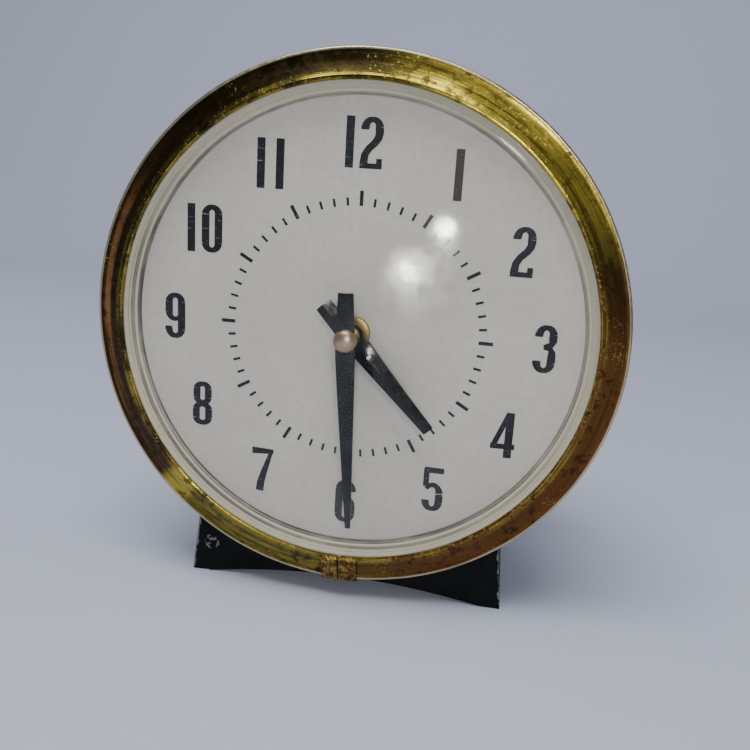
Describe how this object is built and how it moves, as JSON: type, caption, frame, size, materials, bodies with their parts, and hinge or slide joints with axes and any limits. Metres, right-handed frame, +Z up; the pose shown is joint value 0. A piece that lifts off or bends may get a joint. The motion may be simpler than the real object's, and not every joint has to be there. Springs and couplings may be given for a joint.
{
  "type": "table alarm clock",
  "caption": "Wind-up table alarm clock: domed crystal in a brass bezel, round black case on a winged base, and a going and an alarm train turned by keys at the back.",
  "frame": {"origin": "middle of the clock's box on the surface that it stands on", "axes": "+Z up, the dial faces -Y, +X is the viewer's right"},
  "size_m": [0.124, 0.0756, 0.1295],
  "materials": {
    "bezel_brass": "tarnished, finely brushed brass with brown and orange patches",
    "crystal_clear": "clear domed plastic with light scratches",
    "flange_cream": "smooth off-white paint",
    "dial_paint": "off-white, faintly mottled matte paint",
    "dial_ink": "dark navy ink, slightly worn",
    "hand_black": "gloss black enamel",
    "bright_brass": "bright brass",
    "nut_copper": "satin copper-tinted brass",
    "case_black": "black enamel, chipped to grey at the edges",
    "screw_steel": "dull zinc-plated steel",
    "arbor_steel": "polished steel",
    "spring_steel": "blued spring steel",
    "bell_steel": "nickel-plated steel",
    "key_brass": "dull stamped brass",
    "movement_brass": "rolled brass"
  },
  "bodies": {
    "clock_frame": {"bezel_ring": "bezel_brass", "bezel_clip": "bezel_brass", "crystal": "crystal_clear", "dial_flange": "flange_cream", "dial_plate": "dial_paint", "dial_track": "dial_ink", "dial_numerals": "dial_ink", "dial_grommet": "bright_brass", "case_shell": "case_black", "base_stand": "case_black", "base_screws": "screw_steel", "base_nuts": "screw_steel", "back_cover": "case_black", "back_screws": "screw_steel", "front_plate": "movement_brass", "back_plate": "movement_brass", "pillars": "movement_brass", "plate_nuts": "screw_steel", "movement_screws": "screw_steel", "time_mainspring": "spring_steel", "hairspring": "spring_steel", "balance_screws": "screw_steel", "alarm_mainspring": "spring_steel", "bell": "bell_steel", "bell_post": "arbor_steel", "bell_screw": "screw_steel"},
    "minute_group": {"centre_arbor": "arbor_steel", "cannon_pinion": "movement_brass", "clutch_spring": "spring_steel", "minute_hand": "hand_black", "hand_nut": "nut_copper", "time_set_knob": "key_brass"},
    "minute_wheel": {"minute_wheel": "movement_brass"},
    "hour_group": {"hour_wheel": "movement_brass", "hour_hand": "hand_black"},
    "alarm_pointer": {"alarm_wheel": "movement_brass", "alarm_hand": "bright_brass"},
    "alarm_setter": {"alarm_set_arbor": "arbor_steel", "alarm_set_knob": "key_brass"},
    "let_off": {"let_off_lever": "arbor_steel"},
    "time_winder": {"time_wind_arbor": "arbor_steel", "time_key": "key_brass"},
    "time_great": {"time_great_wheel": "movement_brass"},
    "time_pawl": {"time_click": "arbor_steel"},
    "centre": {"centre_wheel": "movement_brass"},
    "third": {"third_wheel": "movement_brass"},
    "fourth": {"fourth_wheel": "movement_brass"},
    "escape": {"escape_wheel": "movement_brass"},
    "pallets": {"pallet_lever": "arbor_steel"},
    "balance": {"balance_wheel": "bright_brass"},
    "regulator": {"regulator_lever": "key_brass"},
    "alarm_winder": {"alarm_wind_arbor": "arbor_steel", "alarm_key": "key_brass"},
    "alarm_great": {"alarm_great_wheel": "movement_brass"},
    "alarm_pawl": {"alarm_click": "arbor_steel"},
    "alarm_escape": {"alarm_escape_wheel": "movement_brass"},
    "hammer": {"alarm_hammer": "arbor_steel"},
    "stop": {"stop_button": "key_brass"}
  },
  "joints": [
    {"name": "minute_turn", "type": "hinge", "parent": "clock_frame", "child": "minute_group", "pos_m": [0, -0.02223, 0.0675], "axis": [0, -1, 0], "continuous": true},
    {"name": "minute_wheel_turn", "type": "hinge", "parent": "clock_frame", "child": "minute_wheel", "pos_m": [0, -0.02223, 0.0795], "axis": [0, -1, 0], "continuous": true},
    {"name": "hour_turn", "type": "hinge", "parent": "clock_frame", "child": "hour_group", "pos_m": [0, -0.02223, 0.0675], "axis": [0, -1, 0], "continuous": true},
    {"name": "alarm_set_turn", "type": "hinge", "parent": "clock_frame", "child": "alarm_setter", "pos_m": [0, -0.02223, 0.0495], "axis": [0, -1, 0], "continuous": true},
    {"name": "alarm_pointer_turn", "type": "hinge", "parent": "clock_frame", "child": "alarm_pointer", "pos_m": [0, -0.02223, 0.0675], "axis": [0, -1, 0], "continuous": true},
    {"name": "let_off_lift", "type": "hinge", "parent": "clock_frame", "child": "let_off", "pos_m": [0.024, -0.02223, 0.0615], "axis": [0, -1, 0], "range_deg": [-3, 3], "stiffness_Nm_per_rad": 0.0005},
    {"name": "time_winding", "type": "hinge", "parent": "clock_frame", "child": "time_winder", "pos_m": [-0.01947, -0.02223, 0.05963], "axis": [0, -1, 0], "continuous": true, "deforming": ["time_mainspring"]},
    {"name": "time_great_turn", "type": "hinge", "parent": "clock_frame", "child": "time_great", "pos_m": [-0.01947, -0.02223, 0.05963], "axis": [0, -1, 0], "continuous": true},
    {"name": "time_click_lift", "type": "hinge", "parent": "time_great", "child": "time_pawl", "pos_m": [-0.01066, -0.02223, 0.06703], "axis": [0, -1, 0], "range_deg": [-10, 0], "stiffness_Nm_per_rad": 0.0005},
    {"name": "centre_turn", "type": "hinge", "parent": "clock_frame", "child": "centre", "pos_m": [0, -0.02223, 0.0675], "axis": [0, -1, 0], "continuous": true},
    {"name": "third_turn", "type": "hinge", "parent": "clock_frame", "child": "third", "pos_m": [-0.00601, -0.02223, 0.08447], "axis": [0, -1, 0], "continuous": true},
    {"name": "fourth_turn", "type": "hinge", "parent": "clock_frame", "child": "fourth", "pos_m": [0.00842, -0.02223, 0.08807], "axis": [0, -1, 0], "continuous": true},
    {"name": "escape_turn", "type": "hinge", "parent": "clock_frame", "child": "escape", "pos_m": [0.01382, -0.02223, 0.09742], "axis": [0, -1, 0], "continuous": true},
    {"name": "pallet_rock", "type": "hinge", "parent": "clock_frame", "child": "pallets", "pos_m": [0.00434, -0.02223, 0.0997], "axis": [0, -1, 0], "range_deg": [-3, 3]},
    {"name": "balance_swing", "type": "hinge", "parent": "clock_frame", "child": "balance", "pos_m": [-0.00864, -0.02223, 0.09901], "axis": [0, -1, 0], "range_deg": [-200, 200], "stiffness_Nm_per_rad": 0.00001, "deforming": ["hairspring"]},
    {"name": "regulator_turn", "type": "hinge", "parent": "clock_frame", "child": "regulator", "pos_m": [-0.00864, -0.02223, 0.09901], "axis": [0, -1, 0], "range_deg": [-15, 15]},
    {"name": "alarm_winding", "type": "hinge", "parent": "clock_frame", "child": "alarm_winder", "pos_m": [0.01947, -0.02223, 0.05963], "axis": [0, -1, 0], "continuous": true, "deforming": ["alarm_mainspring"]},
    {"name": "alarm_great_turn", "type": "hinge", "parent": "clock_frame", "child": "alarm_great", "pos_m": [0.01947, -0.02223, 0.05963], "axis": [0, -1, 0], "continuous": true},
    {"name": "alarm_click_lift", "type": "hinge", "parent": "alarm_great", "child": "alarm_pawl", "pos_m": [0.02828, -0.02223, 0.06703], "axis": [0, -1, 0], "range_deg": [-10, 0], "stiffness_Nm_per_rad": 0.0005},
    {"name": "alarm_escape_turn", "type": "hinge", "parent": "clock_frame", "child": "alarm_escape", "pos_m": [0.02491, -0.02223, 0.07992], "axis": [0, -1, 0], "continuous": true},
    {"name": "hammer_swing", "type": "hinge", "parent": "clock_frame", "child": "hammer", "pos_m": [0.02116, -0.02223, 0.08641], "axis": [0, -1, 0], "range_deg": [-14, 0], "stiffness_Nm_per_rad": 0.001},
    {"name": "stop_push", "type": "slide", "parent": "clock_frame", "child": "stop", "axis": [0, -1, 0], "range_m": [0, 0.003]}
  ],
  "couplings": [
    {"joint": "minute_wheel_turn", "follows": "minute_turn", "ratio": -0.33333},
    {"joint": "hour_turn", "follows": "minute_turn", "ratio": 0.083333},
    {"joint": "alarm_pointer_turn", "follows": "alarm_set_turn", "ratio": -0.2},
    {"joint": "centre_turn", "follows": "time_great_turn", "ratio": -6},
    {"joint": "third_turn", "follows": "time_great_turn", "ratio": 48},
    {"joint": "fourth_turn", "follows": "time_great_turn", "ratio": -360},
    {"joint": "escape_turn", "follows": "time_great_turn", "ratio": 2880},
    {"joint": "alarm_escape_turn", "follows": "alarm_great_turn", "ratio": -6}
  ]
}
